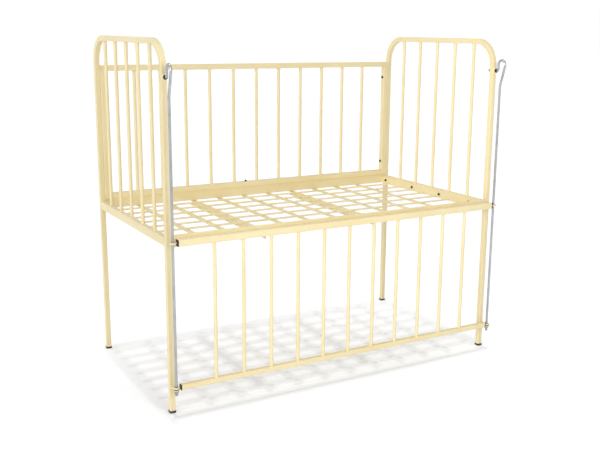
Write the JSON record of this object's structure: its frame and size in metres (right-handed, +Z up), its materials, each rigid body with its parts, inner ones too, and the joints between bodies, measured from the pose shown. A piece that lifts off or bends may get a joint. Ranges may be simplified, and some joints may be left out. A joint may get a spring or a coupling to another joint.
{
  "type": "pediatric hospital cot",
  "caption": "High-legged steel cot with bent-tube ends, a barred back, a barred side that slides down on guide rods, and a strip-lattice base for a mattress",
  "frame": {"origin": "on the floor, under the middle of the overall box", "axes": "+X along the length towards the end on the right when the drop side is in front, +Y towards the fixed back side, +Z up"},
  "size_m": [1.375, 0.7826, 1.245],
  "materials": {
    "cream_enamel": "smooth cream stoved enamel over welded steel, satin gloss",
    "chrome_rod": "bright plated round rod and its nuts",
    "black_plastic": "moulded black plastic plugs",
    "dark_steel": "dark plated bolts"
  },
  "bodies": {
    "cot_frame": {"back_left_stile": "cream_enamel", "back_low_rail": "cream_enamel", "back_right_stile": "cream_enamel", "back_spindle_1": "cream_enamel", "back_spindle_10": "cream_enamel", "back_spindle_11": "cream_enamel", "back_spindle_2": "cream_enamel", "back_spindle_3": "cream_enamel", "back_spindle_4": "cream_enamel", "back_spindle_5": "cream_enamel", "back_spindle_6": "cream_enamel", "back_spindle_7": "cream_enamel", "back_spindle_8": "cream_enamel", "back_spindle_9": "cream_enamel", "back_top_rail": "cream_enamel", "base_bearer_1": "cream_enamel", "base_bearer_2": "cream_enamel", "base_frame": "cream_enamel", "base_lattice": "cream_enamel", "left_back_foot": "black_plastic", "left_end_bar_1": "cream_enamel", "left_end_bar_2": "cream_enamel", "left_end_bar_3": "cream_enamel", "left_end_bar_4": "cream_enamel", "left_end_bar_5": "cream_enamel", "left_end_rail": "cream_enamel", "left_front_foot": "black_plastic", "left_guide_rod": "chrome_rod", "left_hoop": "cream_enamel", "left_rod_bolt": "dark_steel", "left_rod_nut": "chrome_rod", "right_back_foot": "black_plastic", "right_end_bar_1": "cream_enamel", "right_end_bar_2": "cream_enamel", "right_end_bar_3": "cream_enamel", "right_end_bar_4": "cream_enamel", "right_end_bar_5": "cream_enamel", "right_end_rail": "cream_enamel", "right_front_foot": "black_plastic", "right_guide_rod": "chrome_rod", "right_hoop": "cream_enamel", "right_rod_bolt": "dark_steel", "right_rod_nut": "chrome_rod"},
    "drop_side": {"drop_low_rail": "cream_enamel", "drop_spindle_1": "cream_enamel", "drop_spindle_10": "cream_enamel", "drop_spindle_11": "cream_enamel", "drop_spindle_2": "cream_enamel", "drop_spindle_3": "cream_enamel", "drop_spindle_4": "cream_enamel", "drop_spindle_5": "cream_enamel", "drop_spindle_6": "cream_enamel", "drop_spindle_7": "cream_enamel", "drop_spindle_8": "cream_enamel", "drop_spindle_9": "cream_enamel", "drop_top_rail": "cream_enamel", "left_low_plug": "black_plastic", "left_top_plug": "black_plastic", "right_low_plug": "black_plastic", "right_top_plug": "black_plastic"}
  },
  "joints": [
    {"name": "drop_slide", "type": "slide", "parent": "cot_frame", "child": "drop_side", "axis": [0, 0, 1], "range_m": [0, 0.46]}
  ]
}
